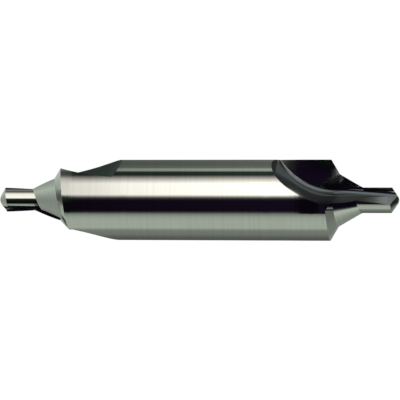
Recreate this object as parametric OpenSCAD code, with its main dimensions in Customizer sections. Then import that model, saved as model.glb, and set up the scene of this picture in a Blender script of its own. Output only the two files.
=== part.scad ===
// Centre drill, double ended
// A pilot drill, a countersink and a protecting chamfer are ground on both ends of one bar.
// Millimetres. The axis lies along X, the origin is halfway between the two points, and Z is up.
// Each end cuts right-handed, and its helical flutes leave the bar along the arc of a grinding wheel.

/* [Bar] */
// Diameter of the ground shank
shank_d = 14; // [12:0.5:16]
// Length over both points
total_len = 69.6; // [64:0.2:76]

/* [Pilot drill] */
// Diameter of the pilot drill
pilot_d = 4.4; // [3.9:0.1:4.9]
// Length of the pilot from its point to the countersink
pilot_len = 6.05; // [5.5:0.05:7]
// Included angle of the point
point_angle = 118; // [110:1:130]
// Radius of the blunt tip, where the two flanks meet across the web
tip_r = 0.5; // [0.4:0.05:0.6]
// Height of the blunt tip
tip_rise = 0.1; // [0.05:0.01:0.15]

/* [Countersink] */
// Included angle of the countersink
sink_angle = 60; // [55:1:70]
// Diameter where the countersink meets the protecting chamfer
sink_d = 9.2; // [8:0.1:10.5]
// Included angle of the protecting chamfer
guard_angle = 120; // [110:1:130]

/* [Relief] */
// Axial fall of the countersink and chamfer behind the cutting edge, over a full turn
sink_relief = 5.6; // [4:0.1:8]
// Axial fall of the point behind its lip, over a full turn
point_relief = 2.2; // [1:0.1:4]

/* [Flutes] */
// Lead of the right-hand flute helix
flute_lead = 118; // [105:1:135]
// Length of even helix, from the point
helix_len = 12; // [10.5:0.5:13.5]
// Distance from the point at which the helix has straightened out
helix_end = 22.4; // [20:0.2:25]
// Length of full flute depth, from the point
flute_len = 10.9; // [10:0.1:12]
// Radius of the arc on which the flute runs out
runout_r = 11.3; // [10:0.1:13]
// Height of the flute floor above the axis, at the cutting face
floor_off = 1.2; // [1:0.05:1.4]
// Angle between cutting face and flute floor
flute_angle = 94.5; // [90:0.5:98]
// Distance of the cutting face behind the axis
face_off = 0.5; // [0.3:0.05:0.6]
// Radius in the corner between cutting face and floor
corner_r = 0.7; // [0.5:0.1:1]

/* [Ends] */
// Turn of the right-hand end about the axis
right_turn = -42.6; // [-90:0.1:0]
// Turn of the left-hand end about the axis
left_turn = 94.3; // [0:0.1:180]

/* [Hidden] */

steel_colour = "#A9AEAA";
shank_r = shank_d / 2;
pilot_r = pilot_d / 2;
sink_r = sink_d / 2;
// Flutes at each end, and the angle from one to the next
flutes = 2;
pitch = 360 / flutes;
// Turn of the helix per millimetre
twist = 360 / flute_lead;
// Space that every cutter keeps outside the bar
clear = 1.5;
cut_r = shank_r + clear;
// Tangent of the wheel's swivel, the helix angle at the shank
swivel = PI * shank_d / flute_lead;
// Fall of the flute floor per millimetre away from the cutting face
floor_slope = tan(flute_angle - 90);

// Distances from the point along the cutting edge
point_len = tip_rise + (pilot_r - tip_r) / tan(point_angle / 2);
sink_end = pilot_len + (sink_r - pilot_r) / tan(sink_angle / 2);
guard_end = sink_end + (cut_r - sink_r) / tan(guard_angle / 2);

// Relieved land, in degrees behind the cutting edge
// The fall grows up to land_fall and is back at zero at land_back, inside the flute.
land_fall = 120;
land_back = 170;
land_step = 5;
land_rows = 2;

// Steps along and across the flute cutter, and its least thickness once it is clear of the bar
flute_rows = 11;
runout_rows = 16;
corner_steps = 5;
floor_steps = 6;
thin = 0.3;

// Segments of the bar's circle, and where it starts, on a land at both ends
bar_round = 128;
bar_turn = -70;

// Point of an end at distance u behind its tip, radius r and angle f in the cutting direction
function polar(u, r, f) = [-u, -r * cos(f), -r * sin(f)];

// Turn of the helix at distance u, even at first and slowing to none as the wheel leaves the bar
function helix_turn(u) =
    let (fade = helix_end - helix_len, s = min(max(u - helix_len, 0), fade))
    twist * (min(u, helix_len) + s - s * s / (2 * fade));

// Angle of the cutting edge at distance u and radius r
function edge_angle(u, r) = -helix_turn(u) - asin(face_off / r);

// Share of a full turn's fall at b degrees behind the edge
function fall(b) =
    (b < land_fall ? b : land_fall * max(0, land_back - b) / (land_back - land_fall)) / 360;

// Steps from a to b, with both ends
function spread(a, b, steps) = [for (i = [0:steps]) a + (b - a) * i / steps];

// Steps from a to b without a, and without b
function spread_after(a, b, steps) = [for (i = [1:steps]) a + (b - a) * i / steps];
function spread_before(a, b, steps) = [for (i = [0:steps - 1]) a + (b - a) * i / steps];

// Profile of the cutting edge behind the tip, as [distance, radius, fall over a full turn]
function edge_profile() = concat(
    [[tip_rise, tip_r, point_relief * tip_r / pilot_r]],
    [for (u = spread_before(point_len, pilot_len, land_rows))
        let (t = (u - point_len) / (pilot_len - point_len))
        [u, pilot_r, point_relief + t * (sink_relief - point_relief)]],
    [for (u = spread_before(pilot_len, sink_end, land_rows))
        [u, pilot_r + (u - pilot_len) * tan(sink_angle / 2), sink_relief]],
    [for (u = spread(sink_end, guard_end, land_rows))
        [u, sink_r + (u - sink_end) * tan(guard_angle / 2), sink_relief]]
);

// Ring of points around the axis at one place of the edge profile
// A ring on the point starts level with the corner of the pilot.
function land_ring(p) = [
    for (i = [0:flutes - 1], b = [0:land_step:pitch - land_step])
    let (u = p[0] + p[2] * fall(b))
    polar(u, p[1], edge_angle(u, max(p[1], pilot_r)) - b - i * pitch)
];

// Closed skin over rings of equal length, from a first apex to a last apex
function ring_faces(rings, n) = concat(
    [for (j = [0:n - 1]) [0, 1 + (j + 1) % n, 1 + j]],
    [for (i = [0:rings - 2], j = [0:n - 1])
        let (a = 1 + i * n + j, b = 1 + i * n + (j + 1) % n)
        each [[a, b, a + n], [b, b + n, a + n]]],
    [for (j = [0:n - 1])
        let (a = 1 + (rings - 1) * n)
        [a + j, a + (j + 1) % n, 1 + rings * n]]
);

// Everything outside the relieved lands of one end, from the tip back to the chamfer's outer edge
module land_cutter() {
    profile = edge_profile();
    last = profile[len(profile) - 1];
    front = [for (p = land_ring(last)) [clear, p[1], p[2]]];
    rings = concat([for (p = profile) land_ring(p)], [front]);
    points = concat([[0, 0, 0]], [for (r = rings) each r], [[clear, 0, 0]]);
    polyhedron(points, ring_faces(len(rings), len(front)), convexity = 6);
}

// Height of the run-out arc at distance s behind its start
function wheel_lift(s) =
    s <= 0 ? 0 :
    s >= runout_r ? 2 * cut_r :
    runout_r - sqrt(runout_r * runout_r - s * s);

// Height of the flute floor over the axis at distance u, w away from the cutting face
function floor_height(u, w) =
    min(floor_off - floor_slope * w + wheel_lift(u - flute_len - swivel * w), cut_r - corner_r - thin);

// Flute section at distance u, as [height along the cutting face, width away from it]
// It runs down the face, round the corner, along the floor and back outside the bar.
function flute_section(u) = concat(
    [[cut_r, 0]],
    [for (s = spread(0, 90, corner_steps))
        let (w = corner_r * (1 - cos(s)))
        [floor_height(u, w) + corner_r * (1 - sin(s)), w]],
    [for (w = spread_after(corner_r, cut_r + face_off, floor_steps))
        [floor_height(u, w), w]],
    [[cut_r, cut_r + face_off]]
);

// A section's point in the end's frame, turned with the helix
function flute_point(u, q) =
    let (r = norm([q[0], q[1] - face_off]))
    polar(u, r, atan2(q[1] - face_off, q[0]) - helix_turn(u));

// One flute's wheel path, with the lift at the end of its cut
module flute_cutter() {
    runout_end = flute_len + runout_r + swivel * (cut_r + face_off);
    stations = concat(
        spread(-clear, flute_len, flute_rows),
        spread_after(flute_len, runout_end, runout_rows)
    );
    sections = [for (u = stations) [for (q = flute_section(u)) flute_point(u, q)]];
    n = len(sections[0]);
    rows = len(stations);
    sides = [for (i = [0:rows - 2], j = [0:n - 1])
        let (a = i * n + j, b = i * n + (j + 1) % n)
        each [[a, a + n, b], [b, a + n, b + n]]];
    first = [[for (j = [0:n - 1]) j]];
    last = [[for (j = [0:n - 1]) (rows - 1) * n + n - 1 - j]];
    polyhedron([for (s = sections) each s], concat(sides, first, last), convexity = 8);
}

// All that is ground away at one end, with the tip at the origin and the bar along -X
module end_grinding() {
    land_cutter();
    for (i = [0:flutes - 1])
        rotate([i * pitch, 0, 0])
            flute_cutter();
}

// The bar before the ends are ground
module bar() {
    rotate([0, 90, 0])
        rotate([0, 0, bar_turn])
            cylinder(h = total_len + clear, r = shank_r, center = true, $fn = bar_round);
}

module centre_drill() {
    color(steel_colour)
        difference() {
            bar();
            translate([total_len / 2, 0, 0])
                rotate([right_turn, 0, 0])
                    end_grinding();
            rotate([0, 0, 180])
                translate([total_len / 2, 0, 0])
                    rotate([left_turn, 0, 0])
                        end_grinding();
        }
}

centre_drill();
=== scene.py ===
import bmesh
import bpy
import numpy as np
from mathutils import Matrix


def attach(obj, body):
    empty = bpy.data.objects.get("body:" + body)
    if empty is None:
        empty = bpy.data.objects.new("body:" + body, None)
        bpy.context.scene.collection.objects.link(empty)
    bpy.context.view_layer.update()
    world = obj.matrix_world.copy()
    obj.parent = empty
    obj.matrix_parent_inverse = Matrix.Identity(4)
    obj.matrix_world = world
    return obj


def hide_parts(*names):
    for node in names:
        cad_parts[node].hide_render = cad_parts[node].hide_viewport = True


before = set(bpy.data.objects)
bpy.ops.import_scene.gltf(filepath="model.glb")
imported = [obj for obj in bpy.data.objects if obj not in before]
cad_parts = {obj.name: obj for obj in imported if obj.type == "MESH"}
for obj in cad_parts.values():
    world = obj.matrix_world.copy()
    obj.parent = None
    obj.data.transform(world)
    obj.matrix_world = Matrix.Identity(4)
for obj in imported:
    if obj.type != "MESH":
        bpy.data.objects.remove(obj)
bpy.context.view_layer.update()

MM = 0.001
TURN = 2 * np.pi

# Sizes of the drill in millimetres, the same as in the part's source.
SHANK_R = 7.0
TOTAL_LEN = 69.6
PILOT_R = 2.2
PILOT_LEN = 6.05
POINT_HALF = np.radians(59)
TIP_R = 0.5
TIP_RISE = 0.1
SINK_R = 4.6
SINK_HALF = np.radians(30)
GUARD_HALF = np.radians(60)
SINK_RELIEF = 5.6
POINT_RELIEF = 2.2
FLUTE_LEAD = 118.0
HELIX_LEN = 12.0
HELIX_END = 22.4
FLUTE_LEN = 10.9
RUNOUT_R = 11.3
FLOOR_OFF = 1.2
FLOOR_SLOPE = np.tan(np.radians(4.5))
FACE_OFF = 0.5
CORNER_R = 0.7
RIGHT_TURN = np.radians(-42.6)
LEFT_TURN = np.radians(94.3)

# Values that follow from the sizes.
TWIST = TURN / FLUTE_LEAD
SWIVEL = TURN * SHANK_R / FLUTE_LEAD
POINT_LEN = TIP_RISE + (PILOT_R - TIP_R) / np.tan(POINT_HALF)
SINK_END = PILOT_LEN + (SINK_R - PILOT_R) / np.tan(SINK_HALF)
GUARD_END = SINK_END + (SHANK_R - SINK_R) / np.tan(GUARD_HALF)
# The fall of the point grows up to FALL_END behind the lip and is back at zero at FALL_BACK.
FALL_END = np.radians(120)
FALL_BACK = np.radians(170)
# Distance from the point at which a ring crosses the plain shank, behind every run-out.
RING_U = 22.6

# Steps of the surfaces.
PILOT_ROWS = 20
SINK_ROWS = 20
GUARD_ROWS = 10
RUN_ROWS = 48
RING_ROWS = 10
SHANK_ROWS = 24
LAND_COLS = 64
RAKE_COLS = 16
CORNER_COLS = 14
FLOOR_COLS = 50
# Points closer than this, in millimetres, are one. Faces that meet at more than EDGE_ANGLE make an edge.
MERGE = 0.001
EDGE_ANGLE = np.radians(20)

# Marks of the grinding wheel in millimetres. Real ones are about 0.02 wide, too fine to show in
# the render, so they are drawn coarser: the broadest at LINES_PER_MM, with finer ones among them.
LINE_LENGTH = 20.0
LINES_PER_MM = 1.8
LINE_DEPTH = 0.02
# Range of the noise that makes the marks, and the steel's roughness over it.
MARKS_LOW, MARKS_HIGH = 0.3, 0.7
ROUGH_LOW, ROUGH_HIGH = 0.05, 0.09

# Camera of the photograph, as fitted to it: millimetres, angles, and a shift in pixels of the frame.
CAMERA_AWAY = 212.5
CAMERA_TURN = np.radians(4.453)
CAMERA_RISE = np.radians(4.337)
CAMERA_ROLL = np.radians(0.242)
CAMERA_LENS, CAMERA_SENSOR = 110.05, 36.0
CAMERA_SHIFT, FRAME_WIDTH = 2.716, 400


def edge_lag(r):
    """Angle by which the cutting edge trails the axis line at radius r."""
    return np.arcsin(FACE_OFF / r)


def helix_turn(u):
    """Turn of the helix at distance u: even at first, slowing to none as the wheel leaves the bar."""
    fade = HELIX_END - HELIX_LEN
    s = np.clip(u - HELIX_LEN, 0, fade)
    return TWIST * (np.minimum(u, HELIX_LEN) + s - s ** 2 / (2 * fade))


def heel_width(r):
    """Width of the flute floor at radius r, from the cutting face to the heel on the sloping floor."""
    slope = 1 + FLOOR_SLOPE ** 2
    middle = (FACE_OFF + FLOOR_SLOPE * FLOOR_OFF) / slope
    return middle + np.sqrt(middle ** 2 - (FLOOR_OFF ** 2 + FACE_OFF ** 2 - r ** 2) / slope)


def heel_angle(r):
    """Angle of the heel at radius r, ahead of the line along the cutting face."""
    return np.arcsin((heel_width(r) - FACE_OFF) / r)


def land_angle(r):
    """Angle of the land at radius r, from its cutting edge back to its heel."""
    return np.pi - edge_lag(r) - heel_angle(r)


def edge_rows():
    """Rows along the cutting edge: distance behind the point, radius and fall over a full turn.

    The edge is straight between the point's corner, the pilot's end, the countersink's end and
    the shank.
    """
    steps = np.concatenate([
        np.linspace(0, 1, PILOT_ROWS, endpoint=False),
        np.linspace(1, 2, SINK_ROWS, endpoint=False),
        np.linspace(2, 3, GUARD_ROWS + 1),
    ])
    corners = [0, 1, 2, 3]
    u = np.interp(steps, corners, [POINT_LEN, PILOT_LEN, SINK_END, GUARD_END])
    r = np.interp(steps, corners, [PILOT_R, PILOT_R, SINK_R, SHANK_R])
    fall = np.interp(steps, corners, [POINT_RELIEF, SINK_RELIEF, SINK_RELIEF, SINK_RELIEF])
    return u, r, fall


def land_grid():
    """Relieved land: each row of the edge swept back, with an axial fall in step with the angle."""
    u, r, fall = (v[:, None] for v in edge_rows())
    back = land_angle(r) * np.linspace(0, 1, LAND_COLS + 1)
    angle = -edge_lag(r) - back
    length = np.hypot(np.diff(u[:, 0], prepend=u[0, 0]), np.diff(r[:, 0], prepend=r[0, 0])).cumsum()
    grain = np.broadcast_arrays(r * back, length[:, None])
    return (u + fall * back / TURN, r * np.cos(angle), r * np.sin(angle)), grain


def section_columns():
    """Columns of the flute section: share of the cutting face, width in the corner, share of the floor.

    The corner's width is r(1 - cos s) for s from 0 to a right angle. The floor's steps are even in
    the angle at which they meet the shank.
    """
    face = np.linspace(0, 1, RAKE_COLS, endpoint=False)
    s = np.linspace(0, np.pi / 2, CORNER_COLS + 1)
    first = np.arcsin((CORNER_R - FACE_OFF) / SHANK_R)
    width = FACE_OFF + SHANK_R * np.sin(np.linspace(first, heel_angle(SHANK_R), FLOOR_COLS + 1)[1:])
    floor = (width - CORNER_R) / (heel_width(SHANK_R) - CORNER_R)
    face = np.concatenate([face, np.ones(len(s) + len(floor))])
    corner = np.concatenate([
        np.zeros(RAKE_COLS), CORNER_R * (1 - np.cos(s)), np.full(len(floor), CORNER_R),
    ])
    floor = np.concatenate([np.zeros(RAKE_COLS + len(s)), floor])
    return face, corner, floor


def floor_height(w):
    """Height of the sloping floor and its corner arc over the axis at width w, at full depth."""
    x = np.clip(CORNER_R - w, 0, CORNER_R)
    return FLOOR_OFF - FLOOR_SLOPE * w + CORNER_R - np.sqrt(CORNER_R ** 2 - x ** 2)


def wheel_lift(s):
    """Height of the run-out arc at distance s behind its start."""
    x = np.clip(s, 0, RUNOUT_R)
    return RUNOUT_R - np.sqrt(RUNOUT_R ** 2 - x ** 2)


def runout_end(w):
    """Distance from the point at which the run-out leaves the shank at width w.

    The wheel has risen there by the height of the shank's circle over the floor and corner.
    """
    rise = np.sqrt(SHANK_R ** 2 - (w - FACE_OFF) ** 2) - floor_height(w)
    return FLUTE_LEN + SWIVEL * w + np.sqrt(RUNOUT_R ** 2 - (RUNOUT_R - np.maximum(rise, 0)) ** 2)


def point_depth(a, b):
    """Depth of the point's flanks below the tip: the blunt cone's, and the fall behind the lip."""
    back = np.mod(-np.arctan2(b, a) - edge_lag(PILOT_R), np.pi)
    ramp = FALL_END * np.clip((FALL_BACK - back) / (FALL_BACK - FALL_END), 0, 1)
    fall = np.minimum(back, ramp)
    r = np.hypot(a, b)
    cone = np.interp(r, [0, TIP_R, PILOT_R], [0, TIP_RISE, POINT_LEN])
    return cone + r / PILOT_R * POINT_RELIEF * fall / TURN


def flute_grid():
    """Flute: the section carried from the point, along the cutting edge, to the end of the run-out."""
    face, corner, floor = section_columns()
    u_edge, r, fall = (v[:, None] for v in edge_rows())
    r = np.concatenate([r, np.full((RUN_ROWS, 1), SHANK_R)])
    w = corner + (heel_width(r) - CORNER_R) * floor
    nose = len(u_edge)
    u_heel = u_edge + fall * land_angle(r[:nose]) / TURN
    u = u_edge + (u_heel - u_edge) * w[:nose] / heel_width(r[:nose])
    start, end = u[-1], runout_end(w[-1])
    share = np.linspace(0, 1, RUN_ROWS + 1)[1:, None]
    u = np.concatenate([u, start + (end - start) * share])
    low = floor_height(w) + wheel_lift(u - FLUTE_LEN - SWIVEL * w)
    a = low + (np.sqrt(r ** 2 - FACE_OFF ** 2) - low) * (1 - face)
    b = w - FACE_OFF
    tip = point_depth(a[0], b[0]) - u[0]
    u[:PILOT_ROWS] += tip * np.linspace(1, 0, PILOT_ROWS, endpoint=False)[:, None]
    across = np.hypot(np.diff(a, prepend=a[:, :1]), np.diff(w, prepend=w[:, :1])).cumsum(1)
    return (u, a, b), (u, across)


def point_grid(flute):
    """Point: a strip across the web, from one land to the other, filled in between its four sides.

    Two sides are the flutes' edges and two are the lands' rims. The filling is the sum of the two
    blends between opposite sides, less the blend of the four corners.
    """
    edge = np.stack([flute[1][0], flute[2][0]], -1)
    near, far = edge[:, None], -edge[::-1][:, None]
    angle = -edge_lag(PILOT_R) - land_angle(PILOT_R) * np.linspace(0, 1, LAND_COLS + 1)
    rim = PILOT_R * np.stack([np.cos(angle), np.sin(angle)], -1)
    first, last = rim[None], -rim[::-1][None]
    s = np.linspace(0, 1, len(edge))[:, None, None]
    q = np.linspace(0, 1, LAND_COLS + 1)[None, :, None]
    corners = (1 - s) * ((1 - q) * near[:1] + q * far[:1]) + s * ((1 - q) * near[-1:] + q * far[-1:])
    a, b = np.moveaxis((1 - q) * near + q * far + (1 - s) * first + s * last - corners, -1, 0)
    return (point_depth(a, b), a, b), (b, a)


def shank_land_grid():
    """Shank's wall over one land: from the chamfer's rim to a slanting line between the run-outs."""
    share = np.linspace(0, 1, LAND_COLS + 1)
    back = land_angle(SHANK_R) * share
    low = GUARD_END + SINK_RELIEF * back / TURN
    u = low + (land_line(share) - low) * np.linspace(0, 1, RUN_ROWS + 1)[:, None]
    angle = np.broadcast_to(-edge_lag(SHANK_R) - back, u.shape)
    return (u, SHANK_R * np.cos(angle), SHANK_R * np.sin(angle)), (angle * SHANK_R, u)


def land_line(share):
    """Slanting line on the shank from the edge's run-out to the heel's, by the share of the land."""
    first, last = runout_end(0), runout_end(heel_width(SHANK_R))
    return first + (last - first) * share


def ring_columns():
    """Columns round the shank over one turn: angle, and distance of the run-outs and slanting lines."""
    corner, floor = section_columns()[1:]
    w = (corner + (heel_width(SHANK_R) - CORNER_R) * floor)[RAKE_COLS:-1]
    share = np.linspace(1, 0, LAND_COLS, endpoint=False)
    u = np.concatenate([runout_end(w), land_line(share)])
    angle = np.concatenate([
        np.arcsin((w - FACE_OFF) / SHANK_R),
        np.pi - edge_lag(SHANK_R) - land_angle(SHANK_R) * share,
    ])
    u = np.concatenate([u, u, u[:1]])
    return u, np.concatenate([angle, angle + np.pi, angle[:1] + TURN])


def ring_grid():
    """Shank's wall between the run-outs and the ring: each column runs straight along the axis."""
    u, angle = ring_columns()
    u = u + (RING_U - u) * np.linspace(0, 1, RING_ROWS + 1)[:, None]
    angle = np.broadcast_to(angle, u.shape)
    return (u, SHANK_R * np.cos(angle), SHANK_R * np.sin(angle)), (angle * SHANK_R, u)


def place(grid, turn, side):
    """A grid of one end in the drill's frame: turned with the helix, then to the right or left side."""
    u, a, b = grid
    r, angle = np.hypot(a, b), np.arctan2(b, a) - helix_turn(u) + turn
    x, y, z = TOTAL_LEN / 2 - u, -r * np.cos(angle), -r * np.sin(angle)
    return np.stack([side * x, side * y, z], -1)


def middle_grid():
    """Plain shank between the two rings.

    Each column runs from a place on one ring to the place on the other that is nearest in angle.
    """
    angle = ring_columns()[1]
    right = -(angle - helix_turn(RING_U) + RIGHT_TURN)
    left = angle - helix_turn(RING_U) + LEFT_TURN + np.pi
    count = len(angle) - 1
    flute = CORNER_COLS + FLOOR_COLS
    partner = left[(flute + count // 2 - np.arange(count + 1)) % count]
    step = np.mod(partner - right + np.pi, TURN) - np.pi
    share = np.linspace(0, 1, SHANK_ROWS + 1)[:, None]
    angle = right + step * share
    x = np.broadcast_to((TOTAL_LEN / 2 - RING_U) * (1 - 2 * share), angle.shape)
    point = np.stack([x, -SHANK_R * np.cos(angle), SHANK_R * np.sin(angle)], -1)
    return point, (angle * SHANK_R, x)


def drill_mesh():
    """All grids in one closed mesh, with the grain's directions in millimetres as its UV map."""
    flute, flute_grain = flute_grid()
    once = [point_grid(flute), ring_grid()]
    twice = [(flute, flute_grain), land_grid(), shank_land_grid()]
    grids = [middle_grid()]
    for side, turn in ((1, RIGHT_TURN), (-1, LEFT_TURN)):
        grids += [(place(g, turn, side), grain) for g, grain in once]
        grids += [(place(g, turn + half, side), grain) for g, grain in twice for half in (0, np.pi)]
    points, quads, grains = [], [], []
    count = 0
    for point, grain in grids:
        rows, cols = point.shape[:2]
        index = count + np.arange(rows * cols).reshape(rows, cols)
        quad = [index[:-1, :-1], index[:-1, 1:], index[1:, 1:], index[1:, :-1]]
        points.append(point.reshape(-1, 3))
        grains.append(np.stack(np.broadcast_arrays(*grain), -1).reshape(-1, 2))
        quads.append(np.stack(quad, -1).reshape(-1, 4))
        count += rows * cols
    points, quads, grains = (np.concatenate(v) for v in (points, quads, grains))
    mesh = bpy.data.meshes.new("centre_drill_ground")
    mesh.from_pydata(points * MM, [], quads.tolist())
    grain_map = mesh.uv_layers.new(name="grain")
    grain_map.uv.foreach_set("vector", grains[quads.ravel()].ravel().astype(np.float32))
    shape = bmesh.new()
    shape.from_mesh(mesh)
    bmesh.ops.remove_doubles(shape, verts=shape.verts, dist=MERGE * MM)
    bmesh.ops.recalc_face_normals(shape, faces=shape.faces)
    shape.to_mesh(mesh)
    shape.free()
    mesh.shade_smooth()
    mesh.set_sharp_from_angle(angle=EDGE_ANGLE)
    return mesh


def linear(code):
    """Linear colour of an sRGB hex value."""
    c = np.array([int(code[i:i + 2], 16) for i in (1, 3, 5)]) / 255
    return (*np.where(c <= 0.04045, c / 12.92, ((c + 0.055) / 1.055) ** 2.4).tolist(), 1.0)


def add(tree, kind, links=None, **settings):
    """Adds a node, sets its settings and sockets, and links its sockets from others."""
    node = tree.nodes.new(kind)
    for name, value in settings.items():
        setattr(node, name, value)
    for socket, source in (links or {}).items():
        if isinstance(source, bpy.types.NodeSocket):
            tree.links.new(source, node.inputs[socket])
        else:
            node.inputs[socket].default_value = source
    return node


def material(name):
    """A new material with an empty node tree."""
    made = bpy.data.materials.new(name)
    made.use_nodes = True
    made.node_tree.nodes.clear()
    return made


def ramp(tree, position, stops):
    """Colour over a position, from stops of position and colour. Returns the colour's socket."""
    low, high = stops[0][0], stops[-1][0]
    share = add(tree, "ShaderNodeMapRange", {"Value": position, "From Min": low, "From Max": high})
    made = add(tree, "ShaderNodeValToRGB", {"Fac": share.outputs["Result"]})
    elements = made.color_ramp.elements
    for i, (at, colour) in enumerate(stops):
        element = elements[i] if i < 2 else elements.new(1.0)
        element.position = (at - low) / (high - low)
        element.color = (*colour[:3], 1.0)
    return made.outputs["Color"]


def ground_steel():
    """High-speed steel, ground bright all over.

    The hard steel takes a near mirror from the wheel, a little darker and warmer than chrome. The
    wheel's marks run round the shank and lands and along the flutes: they streak a reflection
    faintly and blur it a little across themselves.
    """
    made = material("ground_high_speed_steel")
    tree = made.node_tree
    grain = add(tree, "ShaderNodeUVMap", uv_map="grain")
    along = add(tree, "ShaderNodeTangent", direction_type="UV_MAP", uv_map="grain")
    lines = add(tree, "ShaderNodeMapping", {
        "Vector": grain.outputs["UV"], "Scale": (1 / LINE_LENGTH, LINES_PER_MM, 1.0),
    })
    marks = add(tree, "ShaderNodeTexNoise", {
        "Vector": lines.outputs["Vector"], "Scale": 1.0, "Detail": 4.0,
    }).outputs["Fac"]
    colour = ramp(tree, marks, [(MARKS_LOW, linear("#9A9C97")), (MARKS_HIGH, linear("#A0A29D"))])
    rough = add(tree, "ShaderNodeMapRange", {
        "Value": marks, "From Min": MARKS_LOW, "From Max": MARKS_HIGH,
        "To Min": ROUGH_LOW, "To Max": ROUGH_HIGH,
    })
    bump = add(tree, "ShaderNodeBump", {"Height": marks, "Strength": 0.2, "Distance": LINE_DEPTH * MM})
    steel = add(tree, "ShaderNodeBsdfPrincipled", {
        "Base Color": colour, "Metallic": 1.0, "Roughness": rough.outputs["Result"],
        "Anisotropic": 0.2, "Anisotropic Rotation": 0.25,
        "Normal": bump.outputs["Normal"], "Tangent": along.outputs["Tangent"],
    })
    add(tree, "ShaderNodeOutputMaterial", {"Surface": steel.outputs["BSDF"]})
    return made


def camera():
    """Camera of the photograph: away from the drill's middle, turned, raised and rolled as fitted."""
    made = bpy.data.objects.new("camera", bpy.data.cameras.new("camera"))
    turned = Matrix.Rotation(CAMERA_TURN, 3, "Z")
    raised = Matrix.Rotation(-CAMERA_RISE, 3, "X")
    rolled = Matrix.Rotation(CAMERA_ROLL, 3, "Y")
    right, ahead, up = (turned @ raised @ rolled).col
    basis = Matrix((right, up, -ahead)).transposed().to_4x4()
    basis.translation = -ahead * CAMERA_AWAY * MM
    made.matrix_world = basis
    made.data.lens = CAMERA_LENS
    made.data.sensor_width = CAMERA_SENSOR
    made.data.shift_x = CAMERA_SHIFT / FRAME_WIDTH
    made.data.clip_start = 10 * MM
    made.data.clip_end = 50000 * MM
    bpy.context.scene.collection.objects.link(made)
    bpy.context.scene.camera = made


def stage_piece(name, points, faces, surface):
    """A stage piece of the studio from points in millimetres."""
    mesh = bpy.data.meshes.new(name)
    mesh.from_pydata(np.array(points, float) * MM, [], faces)
    mesh.materials.append(surface)
    made = bpy.data.objects.new(name, mesh)
    bpy.context.scene.collection.objects.link(made)
    return made


def glowing_paper(name, across, fade):
    """Paper that glows by a ramp over one position, times a ramp over another where there is one."""
    made = material(name)
    tree = made.node_tree
    colour = ramp(tree, across[0](tree), across[1])
    if fade:
        other = ramp(tree, fade[0](tree), fade[1])
        both = add(tree, "ShaderNodeVectorMath", {0: colour, 1: other}, operation="MULTIPLY")
        colour = both.outputs["Vector"]
    glow = add(tree, "ShaderNodeEmission", {"Color": colour})
    add(tree, "ShaderNodeOutputMaterial", {"Surface": glow.outputs["Emission"]})
    return made


def card(name, points, faces, across, fade=None):
    """A card of the studio outside the picture: the steel shows it, and the floor doesn't."""
    made = stage_piece(name, points, faces, glowing_paper(name, across, fade))
    made.visible_camera = False
    made.visible_diffuse = False
    made.visible_shadow = False


def flat_card(name, corners, axis, stops):
    """A flat card over its corners, with a glow along one axis."""
    card(name, corners, [tuple(range(len(corners)))], (axis_position(axis), stops))


def axis_position(axis):
    """Object coordinate along one axis, in millimetres."""
    def position(tree):
        spot = add(tree, "ShaderNodeTexCoord")
        parts = add(tree, "ShaderNodeSeparateXYZ", {0: spot.outputs["Object"]})
        size = add(tree, "ShaderNodeMath", {0: parts.outputs[axis], 1: 1 / MM}, operation="MULTIPLY")
        return size.outputs[0]
    return position


def tent_angle(tree):
    """Angle round the drill's axis in degrees, from the camera's side upwards, from -90 to 270."""
    quarter = TURN / 4
    spot = add(tree, "ShaderNodeTexCoord")
    parts = add(tree, "ShaderNodeSeparateXYZ", {0: spot.outputs["Object"]})
    front = add(tree, "ShaderNodeMath", {0: parts.outputs["Y"], 1: -1.0}, operation="MULTIPLY")
    sides = {0: parts.outputs["Z"], 1: front.outputs[0]}
    angle = add(tree, "ShaderNodeMath", sides, operation="ARCTAN2")
    for operation, value in (("ADD", quarter), ("FLOORED_MODULO", TURN), ("SUBTRACT", quarter)):
        angle = add(tree, "ShaderNodeMath", {0: angle.outputs[0], 1: value}, operation=operation)
    return add(tree, "ShaderNodeMath", {0: angle.outputs[0]}, operation="DEGREES").outputs[0]


def tinted(tint, *levels):
    """Stops of a ramp from pairs of position and level, all of one tint."""
    return [(at, tuple(tint * level)) for at, level in levels]


bpy.context.scene.view_settings.view_transform = "Standard"
camera()

drill = bpy.data.objects.new("centre_drill_ground", drill_mesh())
bpy.context.scene.collection.objects.link(drill)
drill.data.materials.append(ground_steel())
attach(drill, "root")
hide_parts("centre_drill")

# The studio, in millimetres: a white floor, a tent of cards round the drill, a dark cloth round its
# right-hand end that paints shade into its reflections, and glowing grey paper on the floor with
# painted shade under and behind the drill.
FLOOR_Z = -60.0
FLOOR_HALF = 3000.0
PAPER_Z = FLOOR_Z + 0.5
CLOTH_Z = FLOOR_Z + 0.8
PAPER_LEFT, PAPER_RIGHT = -75.0, 50.0
TENT_R = 113.0
TENT_LOW, TENT_HIGH = -32, 212
TENT_STEPS = 60
LEFT_X, RIGHT_X = -95.0, 110.0
BOX_LEFT, BOX_RIGHT = -41.0, 18.0
CLOTH_R = 30.0
CLOTH_LEFT, CLOTH_RIGHT = 17.8, 60.0
CLOTH_LOW, CLOTH_HIGH = -30, 60
# Level of the white light from all round, at which white paper renders as white.
ROOM_LEVEL = 1.04

# Colours of the cards' light, for a level of one.
PLAIN = np.ones(3)
BOX_WHITE = np.array([1.03, 0.98, 0.94])
CARD_GREY = np.array([0.95, 1.05, 0.94])
ROOM_GREEN = np.array([0.75, 1.05, 0.9])
CLOTH_BLACK = np.array([1.1, 0.6, 1.9])
CLOTH_BLUE = np.array([0.91, 0.98, 1.1])

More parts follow.
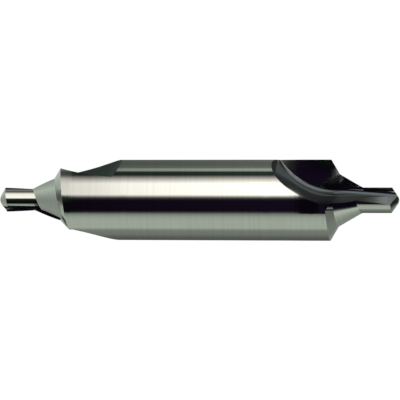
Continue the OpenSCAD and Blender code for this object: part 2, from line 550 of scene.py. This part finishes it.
# White card, matt and even: it shows as a plain pale ground.
paper = material("matt_white_card")
white = add(paper.node_tree, "ShaderNodeBsdfDiffuse", {"Color": linear("#FCFCFC")})
add(paper.node_tree, "ShaderNodeOutputMaterial", {"Surface": white.outputs["BSDF"]})
reach = np.array([(-1, -1), (1, -1), (1, 1), (-1, 1)]) * FLOOR_HALF
stage_piece("floor", [(x, y, FLOOR_Z) for x, y in reach], [(0, 1, 2, 3)], paper)

# Glow of the tent and the cloth over the angle round the axis, and its change along the axis.
box_stops = (
    tinted(CARD_GREY, (-40, 0.4), (-33, 0.3), (-30, 0.12))
    + tinted(CLOTH_BLACK, (-26, 0.014), (3, 0.014))
    + tinted(BOX_WHITE, (8, 0.06), (11, 0.3), (14, 1.05), (19, 3.2))
    + tinted(BOX_WHITE, (50, 3.3), (57, 2.3), (67, 1.0), (74, 0.3))
    + tinted(ROOM_GREEN, (77, 0.07), (89, 0.07))
    + tinted(CARD_GREY, (94, 0.8), (101, 0.8), (106, 0.35), (124, 0.25), (166, 0.2), (215, 0.15))
)
box_fade = tinted(PLAIN, (BOX_LEFT, 0.62), (-35, 0.66), (-26, 0.82), (0, 0.98), (BOX_RIGHT, 1.1))
left_stops = (
    tinted(ROOM_GREEN, (-40, 0.012), (-5, 0.012), (6, 0.06), (13, 0.1))
    + tinted(BOX_WHITE, (20, 2.8), (50, 2.6), (64, 1.9), (74, 0.5))
    + tinted(CARD_GREY, (80, 0.25), (90, 0.25), (96, 0.5), (104, 0.5))
    + tinted(ROOM_GREEN, (118, 0.08), (215, 0.08))
)
left_fade = tinted(PLAIN, (LEFT_X, 1.0), (-51, 1.0), (-46, 0.68), (BOX_LEFT, 0.68))
right_stops = (
    tinted(CLOTH_BLACK, (-40, 0.014), (6, 0.014))
    + tinted(CLOTH_BLUE, (13, 0.25), (31, 0.3), (37, 0.9), (56, 0.9), (63, 0.45), (75, 0.35), (87, 0.55))
    + tinted(CARD_GREY, (93, 0.42), (99, 0.22), (107, 0.12), (120, 0.05))
    + tinted(CARD_GREY, (165, 0.05), (190, 0.35), (215, 0.4))
)
right_fade = tinted(PLAIN, (BOX_RIGHT, 0.3), (28, 0.45), (45, 1.0), (RIGHT_X, 1.0))
# The dark cloth is painted shade: seen only in the steel, its black darkens the reflections on the
# right-hand cutting face and flute, and its dim blue glow makes the highlight along the flute's corner.
shade_cloth_stops = (
    tinted(CLOTH_BLACK, (CLOTH_LOW, 0.014), (6, 0.014))
    + tinted(CLOTH_BLUE, (11, 0.13), (14, 0.2), (22, 0.27), (35, 0.34), (CLOTH_HIGH, 0.3))
)
shade_cloth_fade = tinted(PLAIN, (CLOTH_LEFT, 0.45), (20.8, 0.45), (22, 1.3), (CLOTH_RIGHT, 1.3))
# The white box ends on the right in a line that wanders with the angle.
tent_turns = np.linspace(TENT_LOW, TENT_HIGH, TENT_STEPS + 1)
box_edge = np.interp(
    tent_turns, (10, 22, 31, 41, 52, 66, 75), (17.5, 18.5, 18.2, 17, 15.5, 14.7, BOX_RIGHT),
)
step = np.arange(TENT_STEPS)
strip = np.stack([step, step + 1, TENT_STEPS + 2 + step, TENT_STEPS + 1 + step], -1).tolist()
for name, r, x0, x1, low, high, stops, fade in (
    ("tent_left", TENT_R, LEFT_X, BOX_LEFT, TENT_LOW, TENT_HIGH, left_stops, left_fade),
    ("tent_middle", TENT_R, BOX_LEFT, box_edge, TENT_LOW, TENT_HIGH, box_stops, box_fade),
    ("tent_right", TENT_R, box_edge, RIGHT_X, TENT_LOW, TENT_HIGH, right_stops, right_fade),
    ("painted_shade_cloth", CLOTH_R, CLOTH_LEFT, CLOTH_RIGHT, CLOTH_LOW, CLOTH_HIGH, shade_cloth_stops, shade_cloth_fade),
):
    turns = np.radians(np.linspace(low, high, TENT_STEPS + 1))
    x = np.concatenate([np.broadcast_to(side, turns.shape) for side in (x0, x1)])
    wall = np.stack([x, -r * np.tile(np.cos(turns), 2), r * np.tile(np.sin(turns), 2)], -1)
    card(name, wall, strip, (tent_angle, stops), (axis_position("X"), fade))

# Upright cards: name, place along the axis, corners across it, and glow over height or depth.
# The three flags are black sheets that stand edge-on in front of the right-hand end. They are seen
# only in the steel and cast no shadow. They are painted shade: dark patches in the reflection on its
# cutting face, where the floor's light would show.
left_card = tinted(CARD_GREY, (-60, 0.7), (-15, 0.63), (5, 0.77), (35, 1.2), (64, 0.7), (115, 0.5))
front_card = (
    tinted(CARD_GREY, (-45, 0.6), (-34, 0.05))
    + tinted(CLOTH_BLACK, (-28, 0.008), (115, 0.008))
)
back_card = (
    tinted(CLOTH_BLACK, (0, 0.01))
    + tinted(CARD_GREY, (18, 0.05), (30, 0.15), (50, 0.35), (65, 0.42), (115, 0.42))
)
# Black of the flags and cloths that are painted shade in the steel's reflections.
black = tinted(CLOTH_BLACK, (FLOOR_Z, 0.005), (0, 0.005))
left_wall = [(-TENT_R, FLOOR_Z), (TENT_R, FLOOR_Z), (TENT_R, TENT_R), (-TENT_R, TENT_R)]
front_wall = [(-TENT_R, -45), (0, -45), (0, TENT_R), (-TENT_R, TENT_R)]
back_wall = [(0, FLOOR_Z), (TENT_R, FLOOR_Z), (TENT_R, TENT_R), (0, TENT_R)]
land_shade_flag = [(-8.2, -2.2), (-6.2, -3.9), (-12, -19), (-17, -17)]
shank_shade_flag = [(-8.4, 0.6), (-5.9, -0.4), (-6.8, -1.7), (-6.5, -3.4), (-9.6, -7.6), (-13, -5)]
pilot_shade_flag = [(-75, -55), (-13, -55), (-7.2, -2.2), (-75, -6)]
for name, x, corners, axis, stops in (
    ("card_left", LEFT_X, left_wall, "Z", left_card),
    ("card_right_front", RIGHT_X, front_wall, "Z", front_card),
    ("card_right_back", RIGHT_X, back_wall, "Y", back_card),
    ("painted_shade_flag_land", 23.4, land_shade_flag, "Z", black),
    ("painted_shade_flag_shank", 22.4, shank_shade_flag, "Z", black),
    ("painted_shade_flag_pilot", 27.5, pilot_shade_flag, "Z", black),
):
    flat_card(name, [(x, y, z) for y, z in corners], axis, stops)

# Cards that lie along the axis: name, ends along it, front and back edges across it, and glow.
# Black cloths, seen only in the steel and casting no shadow, are painted shade: they darken the
# reflection on the lower flute of the left-hand end where the floor's light would show. The paper on
# the floor glows and is seen only in the steel; it is darker under and behind the drill's middle than
# at the sides, which is painted shade of the drill.
# Glow of the paper over its depth: the fall under and behind the drill is painted shade.
middle_paper_shade = tinted(
    CARD_GREY, (-97, 0.3), (-83, 0.52), (-68, 0.8), (-56, 0.93), (-40, 1.0), (-14, 1.0), (-10.5, 0.88),
    (-6.5, 0.66), (-3, 0.53), (5, 0.48), (17, 0.43), (32, 0.3), (45, 0.22), (80, 0.15), (95, 0.14),
)
side_paper_shade = tinted(
    CARD_GREY, (-97, 0.15), (-83, 0.46), (-60, 0.9), (-30, 1.2), (-10, 0.95), (0, 0.8), (26, 0.6),
    (95, 0.4),
)
front_edge, back_edge = (-97, PAPER_Z), (95, PAPER_Z)
for name, x0, x1, front, back, axis, stops in (
    ("shade_cloth_pilot", -35.5, -29.4, (-37.6, -13.7), (-16.3, -36.5), "Z", black),
    ("shade_cloth_point", -39.2, -33.2, (-40.1, -44.6), (-24.4, -54.8), "Z", black),
    ("shade_cloth_cone", -28.8, -23.4, (-6.8, -6.2), (1, -9.2), "Z", black),
    ("shaded_paper_left", LEFT_X, PAPER_LEFT, front_edge, back_edge, "Y", side_paper_shade),
    ("shaded_paper_middle", PAPER_LEFT, PAPER_RIGHT, front_edge, back_edge, "Y", middle_paper_shade),
    ("shaded_paper_right", PAPER_RIGHT, 2 * RIGHT_X, front_edge, back_edge, "Y", side_paper_shade),
):
    flat_card(name, [(x0, *front), (x1, *front), (x1, *back), (x0, *back)], axis, stops)
# A black cloth on the floor at the left, seen only in the steel: painted shade in the reflection on the
# left-hand pilot's land.
shade_cloth_corners = [(-60, -60), (-38, -36), (-34.8, -30), (-34.8, 15), (-60, 15)]
flat_card("shade_cloth_floor", [(x, y, CLOTH_Z) for x, y in shade_cloth_corners], "Z", black)

world = bpy.data.worlds.new("studio")
bpy.context.scene.world = world
world.use_nodes = True
world.node_tree.nodes["Background"].inputs["Color"].default_value = (1, 1, 1, 1)
world.node_tree.nodes["Background"].inputs["Strength"].default_value = ROOM_LEVEL
